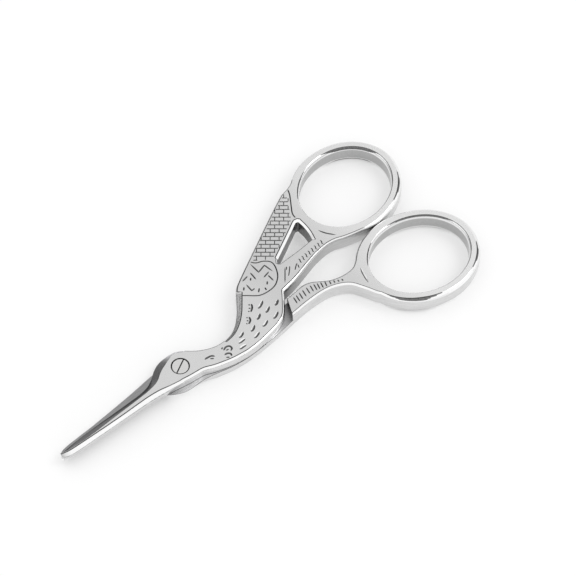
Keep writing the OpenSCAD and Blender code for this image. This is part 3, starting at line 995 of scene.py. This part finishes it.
# Direction of the studio's far end, and the greys that a mirror sees on the way to it
FAR_SIDE = (0.17, 0.985, 0.0)
FAR_GREYS = [(0.74, 1.0), (0.80, 0.8), (0.88, 0.5), (1.0, 0.2)]

# Share of the floor's own light where it is looked at, and the middle of the scene in metres
FLOOR_GLOW = 0.36
MIDDLE = (0.02, 0, 0)


def floor():
    """White paper that keeps a light shadow."""
    bpy.ops.mesh.primitive_plane_add(size=6, location=(MIDDLE[0], MIDDLE[1], -0.05 * MM))
    obj = bpy.context.object
    obj.name = "floor"
    mat = bpy.data.materials.new("paper_floor")
    tree = empty_tree(mat)
    seen = looked_at(tree, node(tree, "ShaderNodeLightPath"))
    share = node(tree, "ShaderNodeMath", {0: seen, 1: FLOOR_GLOW}, operation="MULTIPLY")
    paper = node(tree, "ShaderNodeBsdfDiffuse", {"Color": opaque(0.94)})
    white = node(tree, "ShaderNodeEmission", {"Color": opaque(1), "Strength": 1.0})
    mix = node(tree, "ShaderNodeMixShader", {0: share.outputs[0], 1: paper.outputs[0],
                                             2: white.outputs[0]})
    node(tree, "ShaderNodeOutputMaterial", {"Surface": mix.outputs[0]})
    obj.data.materials.append(mat)


def world():
    """Plain soft light; the camera sees a white studio, and metal mirrors it with a grey end."""
    w = bpy.data.worlds.new("studio")
    bpy.context.scene.world = w
    tree = empty_tree(w)
    direction = node(tree, "ShaderNodeTexCoord").outputs["Generated"]
    side = node(tree, "ShaderNodeVectorMath", {0: direction, 1: FAR_SIDE},
                operation="DOT_PRODUCT").outputs["Value"]
    share = node(tree, "ShaderNodeMapRange",
                 {"Value": side, "From Min": -1.0, "From Max": 1.0}).outputs[0]
    greys = colour_ramp(tree, share, [(place, opaque(v)) for place, v in FAR_GREYS])
    path = node(tree, "ShaderNodeLightPath")
    mirror = node(tree, "ShaderNodeMix", {"Factor": path.outputs["Is Glossy Ray"],
                                          6: opaque(1), 7: greys},
                  data_type="RGBA").outputs[2]
    seen = looked_at(tree, path)
    light = node(tree, "ShaderNodeBackground", {"Color": opaque(1), "Strength": 1.0})
    shown = node(tree, "ShaderNodeBackground", {"Color": mirror, "Strength": 1.0})
    mix = node(tree, "ShaderNodeMixShader", {0: seen, 1: light.outputs[0], 2: shown.outputs[0]})
    node(tree, "ShaderNodeOutputWorld", {"Surface": mix.outputs[0]})


def aimed(name, data, place, target):
    """A lamp or camera at a place, looking at the target."""
    obj = new_object(name, data)
    obj.location = place
    obj.rotation_euler = (target - place).to_track_quat("-Z", "Y").to_euler()
    return obj


def lamp(name, place, power, size):
    """A round area lamp that shines on the middle of the scene."""
    data = bpy.data.lights.new(name, "AREA")
    data.energy, data.shape, data.size = power, "DISK", size
    aimed(name, data, Vector(place), Vector(MIDDLE))


def camera():
    """The photo's viewpoint: about 56 degrees up and 41 degrees round, with a long lens."""
    place, look = Vector((-118.5, -167.2, 332.5)) * MM, Vector((28.23, 1.65, 0.9)) * MM
    data = bpy.data.cameras.new("camera")
    data.lens, data.sensor_width = 128.6, 36
    data.clip_start, data.clip_end = 0.01, 20
    bpy.context.scene.camera = aimed("camera", data, place, look)


camera()
steels = half_materials()
for piece, cad_node, body, slot, limit in (
        (front_half(steels), "front_half", "front", "polished_steel", 17),
        (back_half(steels), "back_half", "back", "polished_steel", 17),
        (pivot_screw(screw_materials()), "pivot_screw", "back", "screw_steel", 30)):
    shade(piece, limit)
    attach(piece, body)
    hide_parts(cad_node)
    print(piece.name, len(piece.data.polygons), "faces")

floor()
world()
lamp("key", (0.4, -0.3, 0.6), 0.8, 0.4)
bpy.context.scene.view_settings.view_transform = "Standard"
